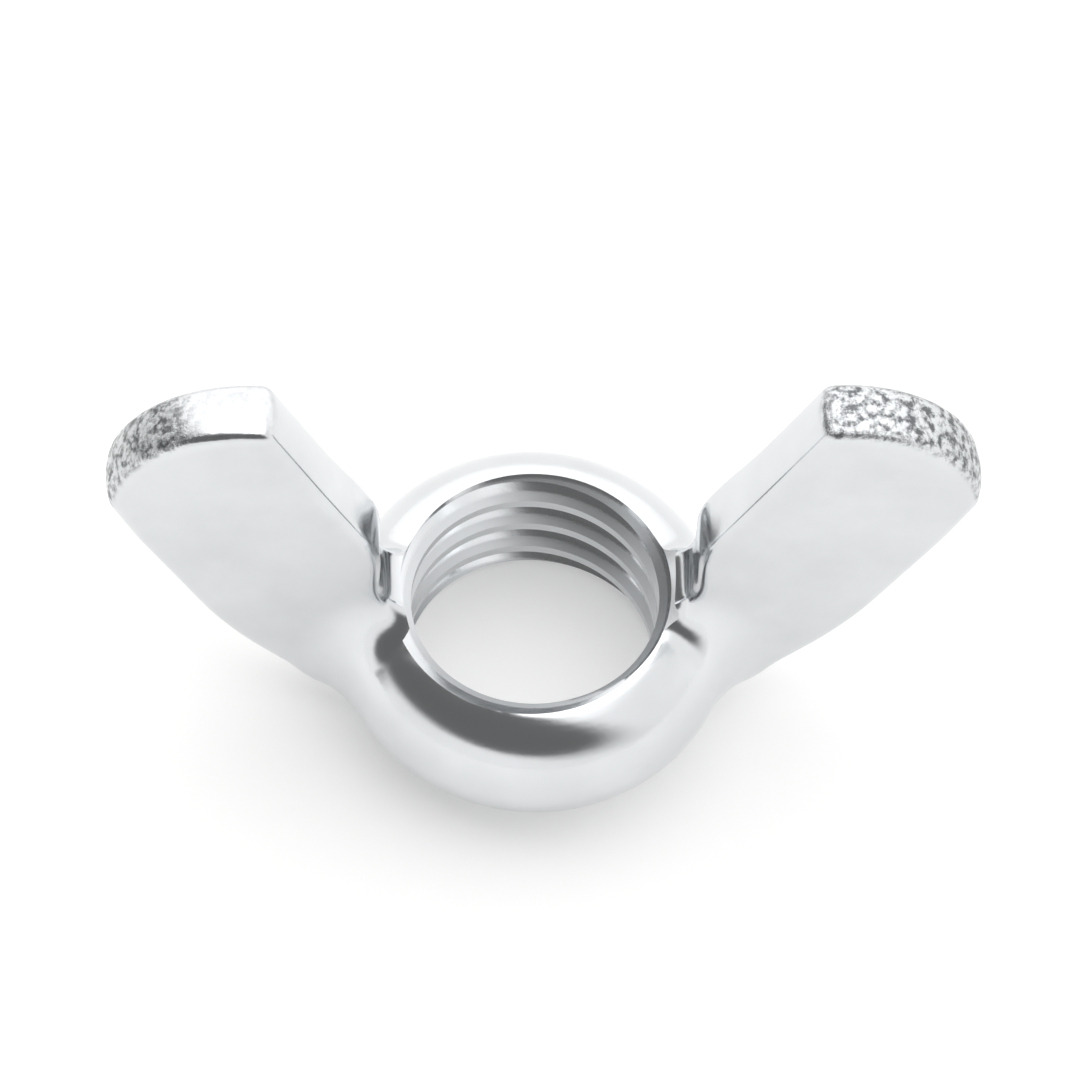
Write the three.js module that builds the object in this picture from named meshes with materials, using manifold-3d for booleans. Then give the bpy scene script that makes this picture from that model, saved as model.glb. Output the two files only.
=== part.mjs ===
// A forged wing nut with an M10 thread: a round hub, tapped right through, and two flat wings that rise from
// its sides to rounded ends. Millimetres. The thread's axis is +Z, the wings point along +X and -X, and the
// nut stands on its bearing face at Z = 0.
import * as THREE from "three";
import { mergeVertices } from "three/addons/utils/BufferGeometryUtils.js";
import Module from "manifold-3d";

const wasm = await Module();
wasm.setup();

// Overall
const spread = 29.7; // over both wing ends, along X
const height = 17.6; // bearing face to the highest point of the wings

// Hub
const hubHeight = 5.7;
const landDiameter = 9.9; // the narrow flat ring on top
const hubWaistDiameter = 13.6;
const hubWaistHeight = 2.9; // the hub is widest here
const shoulderFall = 0.8; // how fast the rounded shoulder drops away from the flat ring
const shoulderTaper = 0.2;
const bearingDiameter = 10.7; // outside of the ring that presses on the work
const waistRound = 0.8;

// Thread
const threadDiameter = 10;
const threadPitch = 1.5;
const crestDiameter = 8.5; // what a plug gauge passes
const countersinkDiameter = 9.4; // at both faces, 45 degrees
const crestFlat = 1 / 4; // of the pitch
const grooveFlat = 1 / 8; // of the pitch
const runOut = 1.5; // turns that the tap goes beyond each face

// Wings
const wingThickness = 2.3;
const wingEdgeRound = 0.35;
const wingGap = 10.8; // between the upright inner walls
const wallHeight = 3.8; // upright wall above the hub, before the wing leans out
const endRadius = 4.8; // each end is one arc that touches the full spread and the full height
const endDrop = 4.6; // the outer corner of an end lies this far below the full height
const endStop = 99.8; // degrees round from level, where the arc meets the leaning inner edge
const elbowReach = 4.15; // from the outer end inwards to the bend low on the outer edge
const elbowHeight = 5;
const toeReach = 8.05; // from the outer end inwards to where the lower edge runs into the hub
const toeHeight = 0.7;
const bendRound = 0.8;
const elbowRound = 2;

// Blend of wing into hub
const blendReach = 3; // how far the blend runs out along the wing
const blendHalfWidth = 3.4; // at the hub's waist
const blendStart = 0.66; // where it leaves the waist: share of the arc from the wing's middle to its inner wall
const planHollow = 0.35; // how far its curve is pulled clear of the wing's face, seen from above
const sideHollow = 0.12; // the same, seen along the wing

// Fineness
const hubSegments = 72;
const threadSegments = 48;
const arcSegments = 10;
const plate = new THREE.MeshStandardMaterial({ color: 0xd9dbdc, roughness: 0.25, metalness: 1 });

function solid(geometry) {
  const bare = geometry.clone().deleteAttribute("normal").deleteAttribute("uv");
  const merged = mergeVertices(bare, 1e-5);
  const vertProperties = new Float32Array(merged.attributes.position.array);
  const triVerts = new Uint32Array(merged.index.array);
  return new wasm.Manifold(new wasm.Mesh({ numProp: 3, vertProperties, triVerts }));
}

function geometryOf(body) {
  const mesh = body.getMesh();
  const geometry = new THREE.BufferGeometry();
  geometry.setAttribute("position", new THREE.BufferAttribute(mesh.vertProperties, 3));
  geometry.setIndex(new THREE.BufferAttribute(mesh.triVerts, 1));
  const faceted = geometry.toNonIndexed();
  faceted.computeVertexNormals();
  return faceted;
}

// The corner at b, between a and c, as a curve that starts and ends at reach from it.
function roundedCorner(a, b, c, reach) {
  const from = b.clone().add(a.clone().sub(b).setLength(reach));
  const to = b.clone().add(c.clone().sub(b).setLength(reach));
  return new THREE.QuadraticBezierCurve(from, b, to).getPoints(arcSegments / 2);
}

// The hub is a turned profile: bearing ring, flared foot, waist, rounded shoulder and narrow top ring.
function hub() {
  const centre = new THREE.Vector2(0, hubHeight);
  const land = new THREE.Vector2(landDiameter / 2, hubHeight);
  const waist = new THREE.Vector2(hubWaistDiameter / 2, hubWaistHeight);
  const crown = new THREE.Vector2(waist.x - shoulderTaper, hubHeight - shoulderFall);
  const bearing = new THREE.Vector2(bearingDiameter / 2, 0);
  const shoulder = new THREE.QuadraticBezierCurve(waist, crown, land).getPoints(arcSegments);
  const foot = roundedCorner(bearing, new THREE.Vector2(waist.x, waist.y - waistRound), waist, waistRound);
  const profile = [new THREE.Vector2(0, 0), bearing, ...foot, ...shoulder.slice(1), centre];
  return solid(new THREE.LatheGeometry(profile, hubSegments).rotateX(Math.PI / 2));
}

// A plug with a helical ridge: what the tap takes out of the hub. Each column of points runs up the plug, and
// the next column stands a little higher, so that one full turn climbs one pitch.
function threadPlug() {
  const crest = crestDiameter / 2;
  const root = threadDiameter / 2;
  const flank = (1 - crestFlat - grooveFlat) / 2;
  const ridge = [
    [crest, 0],
    [crest, crestFlat],
    [root, crestFlat + flank],
    [root, crestFlat + flank + grooveFlat],
  ];
  const step = ridge.length;
  const turns = Math.ceil(hubHeight / threadPitch) + 2 * runOut;
  const topRow = turns * step;
  const low = -runOut * threadPitch;
  const positions = [];
  for (let column = 0; column < threadSegments; column++) {
    const climb = column / threadSegments;
    const angle = climb * 2 * Math.PI;
    for (let row = 0; row <= topRow; row++) {
      const [radius, along] = ridge[row % step];
      const z = low + threadPitch * (climb + Math.floor(row / step) + along);
      positions.push(radius * Math.cos(angle), radius * Math.sin(angle), z);
    }
  }
  positions.push(0, 0, low, 0, 0, low + threadPitch * (turns + 1));

  // The column after the last is the first one again, a whole pitch further up.
  const last = threadSegments - 1;
  const at = (column, row) => (column > last ? row + step : column * (topRow + 1) + row);
  const lowTip = threadSegments * (topRow + 1);
  const highTip = lowTip + 1;
  const faces = [];
  for (let column = 0; column <= last; column++) {
    const rows = column === last ? topRow - step : topRow;
    for (let row = 0; row < rows; row++) {
      faces.push(at(column, row), at(column + 1, row), at(column + 1, row + 1));
      faces.push(at(column, row), at(column + 1, row + 1), at(column, row + 1));
    }
    faces.push(lowTip, at(column + 1, 0), at(column, 0));
  }
  for (let column = 0; column < last; column++) {
    faces.push(highTip, at(column, topRow), at(column + 1, topRow));
  }
  for (let row = 0; row < step; row++) {
    faces.push(lowTip, at(0, row), at(0, row + 1));
    faces.push(highTip, at(last, topRow - row), at(last, topRow - row - 1));
  }
  faces.push(highTip, at(last, topRow - step), at(0, topRow));
  const geometry = new THREE.BufferGeometry();
  geometry.setAttribute("position", new THREE.Float32BufferAttribute(positions, 3));
  geometry.setIndex(faces);
  return solid(geometry);
}

// The cone that breaks the thread's sharp edge, at the bearing face.
function countersink() {
  const radius = countersinkDiameter / 2;
  const depth = (countersinkDiameter - crestDiameter) / 2;
  const lead = threadPitch / 4; // past the face, so that the cut is clean
  const profile = [
    new THREE.Vector2(0, -lead),
    new THREE.Vector2(radius + lead, -lead),
    new THREE.Vector2(radius - depth, depth),
    new THREE.Vector2(0, depth),
  ];
  return solid(new THREE.LatheGeometry(profile, hubSegments).rotateX(Math.PI / 2));
}

// A wing's outline, seen from the front: X outwards, Y of the shape upwards.
function wingOutline() {
  const wall = wingGap / 2;
  const bend = new THREE.Vector2(wall, hubHeight + wallHeight);
  const foot = new THREE.Vector2(wall, toeHeight);
  const elbow = new THREE.Vector2(spread / 2 - elbowReach, elbowHeight);
  const toe = new THREE.Vector2(spread / 2 - toeReach, toeHeight);

  // The end's arc, from its outer corner over the top to its inner corner.
  const centre = new THREE.Vector2(spread / 2 - endRadius, height - endRadius);
  const inner = THREE.MathUtils.degToRad(endStop);
  const outer = Math.asin((endRadius - endDrop) / endRadius);
  const end = [];
  for (let i = 0; i <= arcSegments; i++) {
    const angle = outer + ((inner - outer) * i) / arcSegments;
    end.push(new THREE.Vector2(Math.cos(angle), Math.sin(angle)).multiplyScalar(endRadius).add(centre));
  }
  const lowerBend = roundedCorner(toe, elbow, end[0], elbowRound);
  const upperBend = roundedCorner(end.at(-1), bend, foot, bendRound);
  return new THREE.Shape([foot, toe, ...lowerBend, ...end, ...upperBend]);
}

function wing() {
  const bevelled = {
    depth: wingThickness - 2 * wingEdgeRound,
    bevelThickness: wingEdgeRound,
    bevelSize: wingEdgeRound,
    bevelOffset: -wingEdgeRound,
    bevelSegments: 3,
  };
  const geometry = new THREE.ExtrudeGeometry(wingOutline(), bevelled);
  return solid(geometry.rotateX(Math.PI / 2).translate(0, bevelled.depth / 2, 0));
}

// Seen from above: round like the hub where it starts, then hollow until it meets the wing's flat faces.
function blendPlan() {
  const wall = wingGap / 2;
  const radius = hubWaistDiameter / 2;
  const halfWing = wingThickness / 2;
  const wide = Math.acos(wall / radius);
  const narrow = wide * blendStart;
  const side = [];
  for (let i = 0; i <= arcSegments; i++) {
    const angle = wide + ((narrow - wide) * i) / arcSegments;
    side.push(new THREE.Vector2(Math.cos(angle), Math.sin(angle)).multiplyScalar(radius));
  }
  const pull = new THREE.Vector2(radius, halfWing + planHollow);
  const end = new THREE.Vector2(wall + blendReach, halfWing);
  side.push(...new THREE.QuadraticBezierCurve(side.at(-1), pull, end).getPoints(arcSegments).slice(1));
  const otherSide = side.map((p) => new THREE.Vector2(p.x, -p.y)).reverse();
  return new THREE.Shape([...otherSide, ...side]);
}

// Seen along the wing: widest at the hub's waist, then hollow up to the wing's flat faces.
function blendProfile() {
  const halfWing = wingThickness / 2;
  const bottom = new THREE.Vector2(halfWing, toeHeight);
  const waist = new THREE.Vector2(blendHalfWidth, hubWaistHeight);
  const pull = new THREE.Vector2(halfWing + sideHollow, hubHeight - shoulderFall);
  const top = new THREE.Vector2(halfWing, hubHeight + wallHeight);
  const side = [bottom, ...new THREE.QuadraticBezierCurve(waist, pull, top).getPoints(arcSegments)];
  const otherSide = side.map((p) => new THREE.Vector2(-p.x, p.y)).reverse();
  return new THREE.Shape([...side, ...otherSide]);
}

// What the three outlines have in common: from above, along the wing and from the front.
function blend() {
  const upright = { depth: height, bevelEnabled: false };
  const along = { depth: spread / 2, bevelEnabled: false };
  const through = { depth: 2 * blendHalfWidth, bevelEnabled: false };
  const plan = new THREE.ExtrudeGeometry(blendPlan(), upright);
  const profile = new THREE.ExtrudeGeometry(blendProfile(), along);
  const front = new THREE.ExtrudeGeometry(wingOutline(), through);
  profile.rotateX(Math.PI / 2).rotateZ(Math.PI / 2);
  front.rotateX(Math.PI / 2).translate(0, blendHalfWidth, 0);
  return solid(plan).intersect(solid(profile)).intersect(solid(front));
}

function wingNut() {
  const rightSide = wing().add(blend());
  const leftSide = rightSide.rotate([0, 0, 180]);
  const upperCountersink = countersink().rotate([180, 0, 0]).translate([0, 0, hubHeight]);
  const blank = hub().add(rightSide).add(leftSide);
  const tapped = blank.subtract(threadPlug()).subtract(countersink()).subtract(upperCountersink);
  const mesh = new THREE.Mesh(geometryOf(tapped), plate);
  mesh.name = "wing_nut";
  return mesh;
}

const nut = new THREE.Group();
nut.add(wingNut());

export default nut;
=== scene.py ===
import math

import bmesh
import bpy
import numpy as np
from mathutils import Matrix, Vector, noise


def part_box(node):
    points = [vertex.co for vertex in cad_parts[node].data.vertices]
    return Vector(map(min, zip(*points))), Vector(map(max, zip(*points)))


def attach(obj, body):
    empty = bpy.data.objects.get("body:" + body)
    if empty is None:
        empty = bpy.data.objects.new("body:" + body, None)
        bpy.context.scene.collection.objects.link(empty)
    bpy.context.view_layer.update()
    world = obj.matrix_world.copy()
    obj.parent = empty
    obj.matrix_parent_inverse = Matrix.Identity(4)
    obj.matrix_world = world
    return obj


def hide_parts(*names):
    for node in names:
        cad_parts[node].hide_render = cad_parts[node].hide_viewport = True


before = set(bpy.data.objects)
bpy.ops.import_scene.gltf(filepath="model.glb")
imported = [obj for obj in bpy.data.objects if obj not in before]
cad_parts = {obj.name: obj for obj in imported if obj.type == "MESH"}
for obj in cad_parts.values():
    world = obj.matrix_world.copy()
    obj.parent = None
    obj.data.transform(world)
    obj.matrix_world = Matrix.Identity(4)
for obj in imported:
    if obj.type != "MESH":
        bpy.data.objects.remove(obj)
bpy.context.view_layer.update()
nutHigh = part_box("wing_nut")[1]
mm = 0.001  # the nut is shaped in millimetres and brought to metres at the end
print("frame loaded")

# A cold forged wing nut. The blank is one rounded shape: a turned hub and two flat wings, with a
# soft fillet where they join. Then it is countersunk and tapped.
blank = {
    "margin": 0.01,  # keeps the finished skin inside the model's box
    "hubHeight": 5.7,
    "landRadius": 4.8,
    "landCorner": 0.14,
    "shoulderPull": (-0.2, -0.8),  # where the shoulder bends towards, from the corner over the waist
    "waistHeight": 2.9,
    "flareDrop": 0.8,  # the straight side below the waist, before the foot draws in
    "bearingRadius": 5.35,
    "bearingCorner": 0.25,
    "wingThickness": 2.3,
    "wallRadius": 5.4,  # the upright inner edges of the wings
    "wallTop": 9.5,
    "endRadius": 4.8,
    "endDrop": 4.6,
    "endStop": 99.8,  # degrees round from level, where the end's arc meets the leaning inner edge
    "endCorner": 0.35,
    "elbowReach": 4.15,
    "elbowHeight": 5.0,
    "elbowBend": 2.0,
    "toeReach": 8.05,
    "toeHeight": 0.7,
    "toeCorner": 0.5,
    "bendCorner": 0.8,  # where the upright inner edge turns into the leaning one
    "edgeRound": 0.32,
    "fillet": 1.8,  # where the wings' flat sides run into the hub
    "innerFillet": 1.0,
    "sweep": 2.0,  # radius with which the upright inner edges run down to the rim
    "crown": 0.2,  # how far the wing ends bulge across their thickness
    "rimGap": 0.1,  # how far over the hub's top the sweep ends
    "rootSoftening": 16,  # passes that fill the creases at the wing roots
    "rootFull": 1.2,  # how far from the middle of each root they work fully
    "rootNone": 3.4,  # and no more
    "segments": 96,
    "voxel": 0.14,
    "relaxSteps": 14,
}
# the sheared ends are rough, in mm, and the left one is cleaner from one angle to the other, in radians
endWear = {
    "depth": 0.055, "grain": 0.6, "fine": 0.3, "fineShare": 0.35,
    "clean": 0.85, "cleanFrom": 0.9, "cleanTo": 1.25,
}
skinWave = {"depth": 0.007, "length": 3.0}  # the faces are not dead flat, in mm


def roundCorners(corners, reach, steps=6):
    # each corner becomes a short curve that starts and ends at reach from it
    points = []
    for i, corner in enumerate(corners):
        before, after = corners[i - 1], corners[(i + 1) % len(corners)]
        size = reach[i]
        if size == 0:
            points.append(corner)
            continue
        start = corner + (before - corner) * size / np.linalg.norm(before - corner)
        stop = corner + (after - corner) * size / np.linalg.norm(after - corner)
        for k in range(steps + 1):
            t = k / steps
            points.append(start * (1 - t) ** 2 + corner * 2 * t * (1 - t) + stop * t ** 2)
    return np.array(points)


def curve(start, pull, stop, steps=14):
    t = np.linspace(0, 1, steps + 1)[:, None]
    return start * (1 - t) ** 2 + pull * 2 * t * (1 - t) + stop * t ** 2


def hubProfile(b):
    # radius and height, from the axis round the outside and back to the axis
    waist = np.array([nutHigh.y / mm - b["margin"], b["waistHeight"]])
    crown = np.array([waist[0], b["hubHeight"]]) + b["shoulderPull"]
    land = np.array([b["landRadius"], b["hubHeight"]])
    shoulder = curve(waist, crown, land)
    flare = np.array([waist[0], waist[1] - b["flareDrop"]])
    bearing = np.array([b["bearingRadius"], 0.0])
    foot = [np.array([0.0, 0.0]), bearing, flare, waist]
    foot = roundCorners(foot, [0, b["bearingCorner"], b["flareDrop"], 0])
    top = roundCorners([shoulder[-2], land, np.array([0.0, b["hubHeight"]])], [0, b["landCorner"], 0])
    return np.vstack([foot, shoulder[1:-2], top])


def wingOutline(b):
    # distance out from the axis, and height
    spread = nutHigh.x / mm - b["margin"]
    height = nutHigh.z / mm - b["margin"]
    centre = np.array([spread - b["endRadius"], height - b["endRadius"]])
    bend = np.array([b["wallRadius"], b["wallTop"]])
    inner = math.radians(b["endStop"])
    outer = math.asin((b["endRadius"] - b["endDrop"]) / b["endRadius"])
    angles = np.linspace(outer, inner, 24)
    end = centre + b["endRadius"] * np.column_stack([np.cos(angles), np.sin(angles)])
    toe = np.array([spread - b["toeReach"], b["toeHeight"]])
    elbow = np.array([spread - b["elbowReach"], b["elbowHeight"]])
    foot = np.array([b["wallRadius"] - b["sweep"], b["toeHeight"]])
    hollow = np.array([b["wallRadius"] - b["sweep"], b["hubHeight"] + b["rimGap"] + b["sweep"]])
    angles = np.linspace(0, -math.pi / 2, 12)
    sweep = hollow + b["sweep"] * np.column_stack([np.cos(angles), np.sin(angles)])
    corners = [foot, toe, elbow, *end, bend, *sweep]
    arch = [b["endCorner"], *[0] * (len(end) - 2), b["endCorner"]]
    reach = [0, b["toeCorner"], b["elbowBend"], *arch, b["bendCorner"], *[0] * len(sweep)]
    return roundCorners(corners, reach), centre, outer, inner


def polygonDistance(points, corners):
    # how far each point is from the outline: less than zero inside
    best = np.full(len(points), np.inf)
    inside = np.zeros(len(points), bool)
    for a, c in zip(corners, np.roll(corners, -1, axis=0)):
        edge, toPoint = c - a, points - a
        t = np.clip(toPoint @ edge / max(edge @ edge, 1e-12), 0, 1)
        best = np.minimum(best, ((toPoint - t[:, None] * edge) ** 2).sum(axis=1))
        crosses = (a[1] > points[:, 1]) != (c[1] > points[:, 1])
        rise = edge[1] if edge[1] != 0 else 1e-12
        inside ^= crosses & (points[:, 0] < a[0] + edge[0] * (points[:, 1] - a[1]) / rise)
    return np.where(inside, -1, 1) * np.sqrt(best)


def smoothStep(low, high, value):
    t = np.clip((value - low) / (high - low), 0, 1)
    return t * t * (3 - 2 * t)


def blankDistance(points, b, hubLine, wingLine):
    # signed distance to the blank: hub and wings, joined with a fillet that dies out
    # towards the bearing face
    out, side, up = np.abs(points[:, 0]), np.abs(points[:, 1]), points[:, 2]
    hub = polygonDistance(np.column_stack([np.hypot(out, side), up]), hubLine)
    flat = polygonDistance(np.column_stack([out, up]), wingLine) + b["edgeRound"]
    thick = side - b["wingThickness"] / 2 + b["edgeRound"]
    nearEnd = smoothStep(b["wallTop"] + 1, b["wallTop"] + 4, up)
    flat = flat + b["crown"] * nearEnd * (side / b["wingThickness"] * 2) ** 2
    wing = np.minimum(np.maximum(flat, thick), 0) - b["edgeRound"]
    wing += np.hypot(np.maximum(flat, 0), np.maximum(thick, 0))
    inner = smoothStep(b["wallRadius"] + 0.6, b["wallRadius"] - 0.9, out)
    fillet = b["fillet"] + (b["innerFillet"] - b["fillet"]) * inner
    fillet = 0.05 + (fillet - 0.05) * smoothStep(0.2, 2.2, up)
    joined = np.hypot(np.maximum(fillet - hub, 0), np.maximum(fillet - wing, 0))
    joined = np.maximum(fillet, np.minimum(hub, wing)) - joined
    return np.maximum(joined, -up)


def slopeOf(points, distance):
    # the outward direction of the skin at each point, from four samples round it
    step, total = 0.02, np.zeros_like(points)
    for corner in ((1, -1, -1), (-1, -1, 1), (-1, 1, -1), (1, 1, 1)):
        corner = np.array(corner, float)
        total += corner * distance(points + step * corner)[:, None]
    return total / np.maximum(np.linalg.norm(total, axis=1, keepdims=True), 1e-9)


def addObject(name, mesh):
    piece = bpy.data.objects.new(name, mesh)
    bpy.context.scene.collection.objects.link(piece)
    return piece


def lathe(bm, profile, segments):
    # profile runs from the axis, out, and back to the axis
    bottom, top = bm.verts.new((0, 0, profile[0][1])), bm.verts.new((0, 0, profile[-1][1]))
    turns = [2 * math.pi * i / segments for i in range(segments)]
    rings = []
    for r, z in profile[1:-1]:
        rings.append([bm.verts.new((r * math.cos(a), r * math.sin(a), z)) for a in turns])
    for i in range(segments):
        j = (i + 1) % segments
        bm.faces.new((bottom, rings[0][j], rings[0][i]))
        bm.faces.new((top, rings[-1][i], rings[-1][j]))
        for low, high in zip(rings, rings[1:]):
            bm.faces.new((low[i], low[j], high[j], high[i]))


def slab(bm, outline, half, side):
    # a flat plate with that outline, side is 1 or -1 along X
    faces = []
    for y in (-half, half):
        faces.append([bm.verts.new((side * x, y, z)) for x, z in outline])
    count = len(outline)
    bm.faces.new(faces[0])
    bm.faces.new(faces[1][::-1])
    for i in range(count):
        j = (i + 1) % count
        bm.faces.new((faces[0][i], faces[1][i], faces[1][j], faces[0][j]))


def evaluated(piece):
    # the piece's modifiers turned into a plain mesh
    bpy.context.view_layer.update()
    graph = bpy.context.evaluated_depsgraph_get()
    made = bpy.data.meshes.new_from_object(piece.evaluated_get(graph))
    piece.modifiers.clear()
    piece.data = made
    return made


def makeBlank(b):
    hubLine = hubProfile(b)
    wingLine, centre, outer, inner = wingOutline(b)
    bm = bmesh.new()
    lathe(bm, hubLine, b["segments"])
    for side in (-1, 1):
        slab(bm, wingLine, b["wingThickness"] / 2, side)
    bmesh.ops.recalc_face_normals(bm, faces=bm.faces)
    mesh = bpy.data.meshes.new("wingNut")
    bm.to_mesh(mesh)
    bm.free()
    piece = addObject("wingNut", mesh)
    remesh = piece.modifiers.new("joinAll", "REMESH")
    remesh.mode = "VOXEL"
    remesh.voxel_size = b["voxel"]
    mesh = evaluated(piece)
    print("blank joined:", len(mesh.polygons), "faces")

    # slide the skin onto the exact shape, evening out the faces as it goes
    def distance(points):
        return blankDistance(points, b, hubLine, wingLine)

    points = np.empty(len(mesh.vertices) * 3)
    mesh.vertices.foreach_get("co", points)
    points = points.reshape(-1, 3)
    ends = np.empty(len(mesh.edges) * 2, int)
    mesh.edges.foreach_get("vertices", ends)
    first, second = ends[::2], ends[1::2]
    degree = np.bincount(ends, minlength=len(points))[:, None]

    def evened(points, share=0.5):
        total = np.zeros_like(points)
        for axis in range(3):
            total[:, axis] = np.bincount(first, points[second, axis], len(points))
            total[:, axis] += np.bincount(second, points[first, axis], len(points))
        return points + share * (total / degree - points)

    for step in range(b["relaxSteps"]):
        points = evened(points)
        for _ in range(3 if step in (0, b["relaxSteps"] - 1) else 1):
            points = points - slopeOf(points, distance) * distance(points)[:, None]
    normals = slopeOf(points, distance)
    root = np.column_stack([np.abs(points[:, 0]), points[:, 1], points[:, 2]])
    root -= [b["wallRadius"] + 0.4, 0, b["hubHeight"]]
    root = smoothStep(b["rootNone"], b["rootFull"], np.linalg.norm(root, axis=1))[:, None]
    for _ in range(b["rootSoftening"]):
        # only hollow places fill, the edges stay crisp
        move = evened(points, 0.5 * root) - points
        sunk = np.minimum((move * normals).sum(axis=1), 0)
        points = points + move - sunk[:, None] * normals
    print("skin settled")

    # rough ends, and the slight unevenness of a forged and plated face, always inwards
    rel = np.column_stack([np.abs(points[:, 0]), points[:, 2]]) - centre
    reach = np.linalg.norm(rel, axis=1)
    angle = np.arctan2(rel[:, 1], rel[:, 0])
    onEnd = smoothStep(b["endRadius"] - 0.45, b["endRadius"] - 0.15, reach)
    onEnd *= smoothStep(outer - 0.12, outer + 0.05, angle) * smoothStep(inner + 0.1, inner - 0.1, angle)
    cleaner = smoothStep(endWear["cleanFrom"], endWear["cleanTo"], angle) * (points[:, 0] < 0)
    onEnd *= 1 - endWear["clean"] * cleaner
    steep = smoothStep(0.35, 0.95, np.hypot(normals[:, 0], normals[:, 2]))
    rough = onEnd * steep
    keepFlat = smoothStep(0.02, 0.4, points[:, 2])
    shift = np.empty(len(points))
    for i, p in enumerate(points):
        spot = Vector(p)
        wave = 0.5 + 0.5 * noise.noise(spot / skinWave["length"])
        coarse = 0.5 + 0.5 * noise.noise(spot / endWear["grain"])
        fine = 0.5 + 0.5 * noise.noise(spot / endWear["fine"] + Vector((9, 4, 7)))
        shift[i] = skinWave["depth"] * wave * keepFlat[i]
        grain = coarse + endWear["fineShare"] * (fine - coarse)
        shift[i] += endWear["depth"] * grain * rough[i]
    points = points - normals * shift[:, None]
    points[:, 2] = np.maximum(points[:, 2], 0)
    mesh.vertices.foreach_set("co", points.ravel())
    mesh.update()
    layer = mesh.attributes.new("shearedEnd", "FLOAT", "POINT")
    layer.data.foreach_set("value", rough)
    return piece


nut = makeBlank(blank)

# The thread is metric coarse M10: 1.5 mm pitch, right-handed, a 60 degree form with flat crests.
thread = {
    "majorRadius": 5.0,
    "minorRadius": 4.25,
    "pitch": 1.5,
    "turns": 8,
    "columns": 120,  # round one turn
    "rows": 16,  # across one pitch
    "bottom": -2.0625,  # height where the tap starts, in mm
    "countersinkRadius": 4.64,
    "crestHalf": 0.125,  # half of each flat, as a share of the pitch
    "grooveHalf": 0.0625,
}


def addNode(tree, kind, settings=None, links=None, **inputs):
    # settings are the node's own properties, inputs and links go by socket name or number
    node = tree.nodes.new(kind)
    for key, value in (settings or {}).items():
        setattr(node, key, value)
    for key, value in inputs.items():
        node.inputs[key.replace("_", " ")].default_value = value
    for key, source in (links or {}).items():
        if isinstance(source, (int, float)):
            node.inputs[key].default_value = source
        else:
            tree.links.new(source, node.inputs[key])
    return node


def mathsIn(tree):
    # a short way to add math nodes to that tree
    def maths(operation, a, c=0.0, d=0.0):
        node = addNode(tree, "ShaderNodeMath", {"operation": operation}, {0: a, 1: c, 2: d})
        return node.outputs[0]

    return maths


def threadTree(material):
    # a ribbon one pitch wide, wound up the bore: its edges meet turn on turn
    tree = bpy.data.node_groups.new("threadTap", "GeometryNodeTree")
    face = tree.interface
    face.new_socket("Geometry", in_out="OUTPUT", socket_type="NodeSocketGeometry")
    for name in ("Major Radius", "Minor Radius", "Pitch", "Bottom"):
        face.new_socket(name, in_out="INPUT", socket_type="NodeSocketFloat")
    for name in ("Turns", "Columns", "Rows"):
        face.new_socket(name, in_out="INPUT", socket_type="NodeSocketInt")
    given = addNode(tree, "NodeGroupInput").outputs
    maths = mathsIn(tree)
    across = maths("ADD", given["Rows"], 1)
    along = maths("MULTIPLY_ADD", given["Turns"], given["Columns"], 1)
    ribbon = addNode(tree, "GeometryNodeMeshGrid", {}, {"Vertices X": along, "Vertices Y": across},
                     Size_X=1.0, Size_Y=1.0)
    place = addNode(tree, "GeometryNodeInputPosition").outputs[0]
    split = addNode(tree, "ShaderNodeSeparateXYZ", {}, {0: place}).outputs
    turn = maths("MULTIPLY", maths("ADD", split[0], 0.5), given["Turns"])
    share = maths("ADD", split[1], 0.5)
    # the form: flat crest, straight flank, flat groove, and no groove at all at the tap's two ends
    form = maths("PINGPONG", share, 0.5)
    form = addNode(tree, "ShaderNodeMapRange", {"clamp": True}, {0: form},
                   From_Min=thread["crestHalf"], From_Max=0.5 - thread["grooveHalf"]).outputs[0]
    left = maths("SUBTRACT", given["Turns"], turn)
    fade = maths("MULTIPLY", maths("MINIMUM", turn, left), 2)
    fade = maths("MINIMUM", fade, 1)
    depth = maths("SUBTRACT", given["Major Radius"], given["Minor Radius"])
    radius = maths("MULTIPLY_ADD", maths("MULTIPLY", form, fade), depth, given["Minor Radius"])
    angle = maths("MULTIPLY", turn, 2 * math.pi)
    x = maths("MULTIPLY", radius, maths("COSINE", angle))
    y = maths("MULTIPLY", radius, maths("SINE", angle))
    z = maths("MULTIPLY_ADD", maths("ADD", turn, share), given["Pitch"], given["Bottom"])
    spot = addNode(tree, "ShaderNodeCombineXYZ", {}, {0: x, 1: y, 2: z}).outputs[0]
    wound = addNode(tree, "GeometryNodeSetPosition", {},
                    {"Geometry": ribbon.outputs["Mesh"], "Position": spot})
    sewn = addNode(tree, "GeometryNodeMergeByDistance", {}, {"Geometry": wound.outputs[0]},
                   Distance=0.002)
    whole = addNode(tree, "GeometryNodeRealizeInstances", {}, {"Geometry": sewn.outputs[0]})
    skinned = addNode(tree, "GeometryNodeSetMaterial", {}, {"Geometry": whole.outputs[0]},
                      Material=material)
    addNode(tree, "NodeGroupOutput", {}, {"Geometry": skinned.outputs[0]})
    return tree


def setInputs(modifier, values):
    for item in modifier.node_group.interface.items_tree:
        if item.in_out == "INPUT" and item.name in values:
            modifier[item.identifier] = values[item.name]


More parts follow.
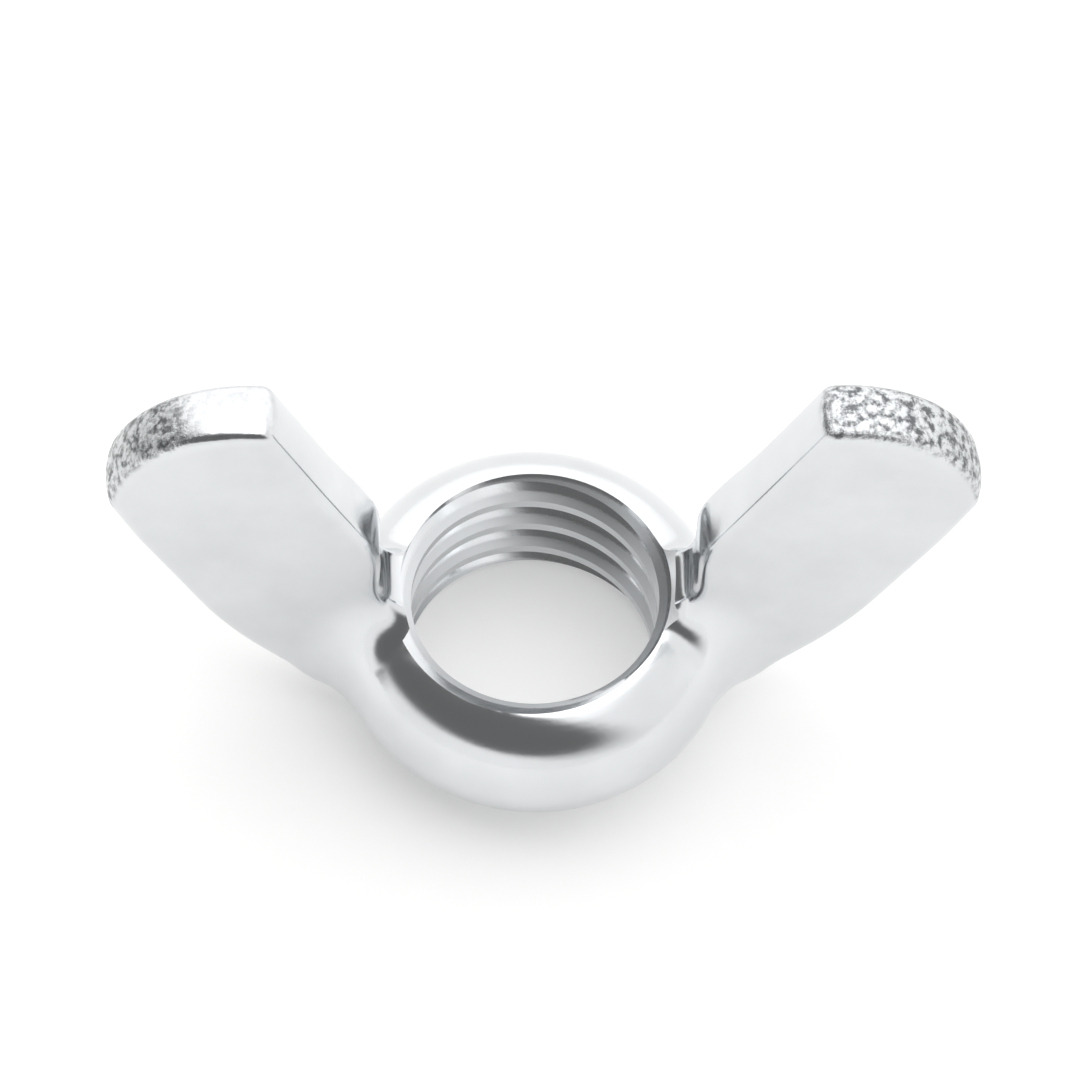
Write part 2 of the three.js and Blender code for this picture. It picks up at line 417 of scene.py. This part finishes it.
def makeTap(t, material):
    tap = addObject("threadTap", bpy.data.meshes.new("threadTap"))
    modifier = tap.modifiers.new("wind", "NODES")
    modifier.node_group = threadTree(material)
    setInputs(modifier, {
        "Major Radius": t["majorRadius"], "Minor Radius": t["minorRadius"], "Pitch": t["pitch"],
        "Bottom": t["bottom"], "Turns": t["turns"], "Columns": t["columns"], "Rows": t["rows"],
    })
    mesh = evaluated(tap)
    bm = bmesh.new()
    bm.from_mesh(mesh)
    caps = bmesh.ops.holes_fill(bm, edges=[e for e in bm.edges if e.is_boundary], sides=0)["faces"]
    bmesh.ops.poke(bm, faces=caps)
    bmesh.ops.recalc_face_normals(bm, faces=bm.faces)
    bm.to_mesh(mesh)
    bm.free()
    return tap


def makeCountersink(t, level, inward):
    # a 45 degree cone into the bore, and outside the face a straight side, clear of each wing's foot
    wide, narrow, over = t["countersinkRadius"], t["minorRadius"] - 0.02, 4
    profile = [(0, -over), (wide, -over), (wide, 0), (narrow, wide - narrow), (0, wide - narrow)]
    bm = bmesh.new()
    lathe(bm, [(r, level + inward * z) for r, z in profile], t["columns"])
    bmesh.ops.recalc_face_normals(bm, faces=bm.faces)
    mesh = bpy.data.meshes.new("countersink")
    bm.to_mesh(mesh)
    bm.free()
    return addObject("countersink", mesh)


def cut(piece, tools):
    for tool in tools:
        step = piece.modifiers.new(tool.name, "BOOLEAN")
        step.operation = "DIFFERENCE"
        step.solver = "MANIFOLD"
        step.object = tool
    evaluated(piece)
    for tool in tools:
        bpy.data.objects.remove(tool)


def linear(code):
    # an sRGB hex colour as linear values
    parts = [int(code[i:i + 2], 16) / 255 for i in (1, 3, 5)]
    return [p / 12.92 if p <= 0.04045 else ((p + 0.055) / 1.055) ** 2.4 for p in parts] + [1]


plating = {
    "bright": "#DDDFE1",
    "dull": "#D6D8DA",
    # painted shade: the darker metal colour laid into the sunken pits of the sheared ends
    "paintedPitShade": "#6C6E70",
    "tapped": "#D2D4D6",
    "roughness": 0.12,
    "dullRoughness": 0.18,
    "tappedRoughness": 0.36,  # the thread is cut after forging, and plates duller
    "cloud": 2.6,  # mm, patches of thicker and thinner plating
    "grain": 0.16,  # mm, the fine orange peel of the plating, drawn a little coarse so that it shows
    "knocks": 1.7,  # mm between the small dents
    "pits": 0.3,  # mm, the torn grain of the sheared ends, whose sunken pits also take painted shade
    "tornRoughness": 0.16,  # added on the sheared ends
    "peelDepth": 0.004,  # mm
    "dentDepth": 0.015,
    "tornDepth": 0.07,
    "rimWidth": 0.15,  # mm over which the tapped look fades out at the rim
}


def brightZincPlate(p):
    # bright zinc plated forged steel: a silvery mirror, softened by forging scale under the plate,
    # which gives clear but slightly wavy reflections, and a torn, matt surface on the sheared ends,
    # with painted shade in its pits
    material = bpy.data.materials.new("brightZincPlatedForgedSteel")
    material.use_nodes = True
    tree = material.node_tree
    tree.nodes.clear()
    spot = addNode(tree, "ShaderNodeTexCoord").outputs["Object"]

    def cells(size, detail, rough=0.5):
        return addNode(tree, "ShaderNodeTexNoise", {}, {"Vector": spot}, Scale=1 / (size * mm),
                       Detail=detail, Roughness=rough).outputs[0]

    def ranged(value, low, high, out, top):
        return addNode(tree, "ShaderNodeMapRange", {"clamp": True}, {0: value}, From_Min=low,
                       From_Max=high, To_Min=out, To_Max=top).outputs[0]

    def mixed(share, a, c):
        node = addNode(tree, "ShaderNodeMix", {"data_type": "RGBA"}, {0: share})
        for number, value in ((6, a), (7, c)):
            if isinstance(value, list):
                node.inputs[number].default_value = value
            else:
                tree.links.new(value, node.inputs[number])
        return node.outputs[2]

    maths = mathsIn(tree)
    cloud = ranged(cells(p["cloud"], 4), 0.35, 0.7, 0, 1)
    torn = addNode(tree, "ShaderNodeAttribute", {"attribute_name": "shearedEnd"}).outputs["Fac"]
    pits = cells(p["pits"], 5, 0.65)
    colour = mixed(cloud, linear(p["bright"]), linear(p["dull"]))
    # painted shade: the sunken pits of the sheared ends are darkened in colour
    sunk = maths("MULTIPLY", torn, ranged(pits, 0.4, 0.56, 1, 0))
    colour = mixed(sunk, colour, linear(p["paintedPitShade"]))
    # the bore is everything nearer the axis than the rim
    flat = addNode(tree, "ShaderNodeVectorMath", {"operation": "MULTIPLY"}, {0: spot})
    flat.inputs[1].default_value = (1, 1, 0)
    out = addNode(tree, "ShaderNodeVectorMath", {"operation": "LENGTH"}, {0: flat.outputs[0]})
    rim = thread["countersinkRadius"]
    bore = ranged(out.outputs["Value"], (rim - p["rimWidth"]) * mm, rim * mm, 1, 0)
    rough = ranged(cloud, 0, 1, p["roughness"], p["dullRoughness"])
    rough = maths("MULTIPLY_ADD", torn, p["tornRoughness"], rough)
    rough = maths("MAXIMUM", rough, maths("MULTIPLY", bore, p["tappedRoughness"]))
    colour = mixed(bore, colour, linear(p["tapped"]))
    peel = addNode(tree, "ShaderNodeBump", {}, {"Height": cells(p["grain"], 3)},
                   Strength=0.25, Distance=p["peelDepth"] * mm)
    # barrel plating knocks the nuts together: small shallow dents, far apart
    knocks = addNode(tree, "ShaderNodeTexVoronoi", {"feature": "F1"}, {"Vector": spot},
                     Scale=1 / (p["knocks"] * mm))
    dent = ranged(knocks.outputs["Distance"], 0, 0.28, 0, 1)
    dents = addNode(tree, "ShaderNodeBump", {}, {"Height": dent, "Normal": peel.outputs[0]},
                    Strength=0.2, Distance=p["dentDepth"] * mm)
    pitted = maths("MULTIPLY", pits, torn)
    tornBump = addNode(tree, "ShaderNodeBump", {}, {"Height": pitted, "Normal": dents.outputs[0]},
                       Strength=1.0, Distance=p["tornDepth"] * mm)
    shader = addNode(tree, "ShaderNodeBsdfPrincipled", {}, {
        "Base Color": colour, "Roughness": rough, "Normal": tornBump.outputs[0]}, Metallic=1.0)
    addNode(tree, "ShaderNodeOutputMaterial", {}, {"Surface": shader.outputs[0]})
    return material


zincPlate = brightZincPlate(plating)
tap = makeTap(thread, zincPlate)
sinks = [makeCountersink(thread, 0, 1), makeCountersink(thread, blank["hubHeight"], -1)]
cut(nut, [tap, *sinks])
print("bore tapped:", len(nut.data.polygons), "faces")


def finishMesh(piece, material, crease):
    mesh = piece.data
    bm = bmesh.new()
    bm.from_mesh(mesh)
    bmesh.ops.scale(bm, vec=(mm, mm, mm), verts=bm.verts)
    for face in bm.faces:
        face.smooth = True
        face.material_index = 0
    for edge in bm.edges:
        edge.smooth = len(edge.link_faces) == 2 and edge.calc_face_angle() < math.radians(crease)
    bm.to_mesh(mesh)
    bm.free()
    mesh.materials.clear()
    mesh.materials.append(material)


finishMesh(nut, zincPlate, crease=32)
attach(nut, "root")
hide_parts("wing_nut")
print("nut finished")

# The room: a pale floor, a bright soft dome, and darker patches of it at the left
studio = {
    "floorColour": "#DEDEDD",
    "floorGlow": 0.32,  # the floor is a sheet lit from below too, so that shadows on it stay faint
    "floorSize": 120,  # m, so that its far edge reaches nearly to the horizon
    "floorDrop": 0.00001,  # m, so that the floor and the nut's foot do not share a plane
    "dome": "#FFFFFF",
    "domeStrength": 1.08,
    "shadeStrength": 0.16,
    # panels: azimuth (0 is in front of the nut, 90 on its right), elevation, half width, half height
    # and softness, all but the last in degrees
    "shades": [(-32, 46, 66, 26, 0.16), (-112, 8, 26, 20, 0.3)],
    # and how much brighter than the dome
    "lamps": [(0, 90, 28, 28, 0.5, 1.1), (180, 35, 60, 35, 0.3, 0.4)],
}


def direction(azimuth, elevation):
    a, e = math.radians(azimuth), math.radians(elevation)
    return Vector((math.sin(a) * math.cos(e), -math.cos(a) * math.cos(e), math.sin(e)))


def makeStudio(s):
    bm = bmesh.new()
    bmesh.ops.create_grid(bm, x_segments=1, y_segments=1, size=s["floorSize"] / 2)
    mesh = bpy.data.meshes.new("floor")
    bm.to_mesh(mesh)
    bm.free()
    floor = addObject("floor", mesh)
    floor.data.transform(Matrix.Translation((0, 0, -s["floorDrop"])))
    paper = bpy.data.materials.new("paperSweep")
    paper.use_nodes = True
    shader = paper.node_tree.nodes["Principled BSDF"]
    shader.inputs["Base Color"].default_value = linear(s["floorColour"])
    shader.inputs["Roughness"].default_value = 0.9
    shader.inputs["Specular IOR Level"].default_value = 0.0
    shader.inputs["Emission Color"].default_value = linear("#FFFFFF")
    shader.inputs["Emission Strength"].default_value = s["floorGlow"]
    floor.data.materials.append(paper)

    world = bpy.data.worlds.new("softDome")
    bpy.context.scene.world = world
    world.use_nodes = True
    tree = world.node_tree
    tree.nodes.clear()
    look = addNode(tree, "ShaderNodeTexCoord").outputs["Generated"]

    def along(vector):
        node = addNode(tree, "ShaderNodeVectorMath", {"operation": "DOT_PRODUCT"}, {0: look})
        node.inputs[1].default_value = vector
        return node.outputs["Value"]

    maths = mathsIn(tree)

    def panel(azimuth, elevation, halfWidth, halfHeight, soft):
        middle = direction(azimuth, elevation)
        level = direction(azimuth + 90, 0)
        wide = maths("DIVIDE", along(level), math.sin(math.radians(halfWidth)))
        tall = maths("DIVIDE", along(level.cross(middle)), math.sin(math.radians(halfHeight)))
        size = maths("ADD", maths("MULTIPLY", wide, wide), maths("MULTIPLY", tall, tall))
        inside = addNode(tree, "ShaderNodeMapRange", {"interpolation_type": "SMOOTHSTEP"},
                         {0: maths("SQRT", size)}, From_Min=1 + soft, From_Max=1 - soft).outputs[0]
        return maths("MULTIPLY", inside, maths("GREATER_THAN", along(middle), 0))

    bright = s["domeStrength"]
    for *shape, extra in s["lamps"]:
        bright = maths("MULTIPLY_ADD", panel(*shape), extra, bright)
    shaded = 0.0
    for shape in s["shades"]:
        shaded = maths("MAXIMUM", shaded, panel(*shape))
    # the shaded panels are hidden from a straight look: past the floor it meets plain white
    straight = addNode(tree, "ShaderNodeLightPath").outputs["Is Camera Ray"]
    shaded = maths("MULTIPLY", shaded, maths("SUBTRACT", 1.0, straight))
    lack = maths("SUBTRACT", s["shadeStrength"], bright)
    bright = maths("MULTIPLY_ADD", shaded, lack, bright)
    glow = addNode(tree, "ShaderNodeBackground", {}, {"Strength": bright}, Color=linear(s["dome"]))
    addNode(tree, "ShaderNodeOutputWorld", {}, {"Surface": glow.outputs[0]})


makeStudio(studio)

# The camera looks down at the nut from the front, turned a little to its left
eye = {
    "azimuth": -5,
    "elevation": 59,
    "roll": 4.2,
    "distance": 450,  # mm
    "lens": 438,
    "targetHeight": 5,
    "shiftRight": 0.17123,  # mm, how far the picture's middle is from the target
    "shiftUp": 2.05479,
    "clip": (0.01, 200),  # m
}


def makeCamera(e):
    back = direction(e["azimuth"], e["elevation"])
    right = (-back).cross(Vector((0, 0, 1))).normalized()
    up = right.cross(-back)
    turn = math.radians(e["roll"])
    across = right * math.cos(turn) + up * math.sin(turn)
    upright = -right * math.sin(turn) + up * math.cos(turn)
    target = Vector((0, 0, e["targetHeight"])) + across * e["shiftRight"] + upright * e["shiftUp"]
    spot = (target + back * e["distance"]) * mm
    camera = bpy.data.cameras.new("camera")
    camera.lens = e["lens"]
    camera.sensor_width = 36
    camera.clip_start, camera.clip_end = e["clip"]
    holder = addObject("camera", camera)
    axes = Matrix((across, upright, back)).transposed().to_4x4()
    holder.matrix_world = Matrix.Translation(spot) @ axes
    bpy.context.scene.camera = holder


makeCamera(eye)
bpy.context.scene.view_settings.view_transform = "Standard"
print("studio and camera set")
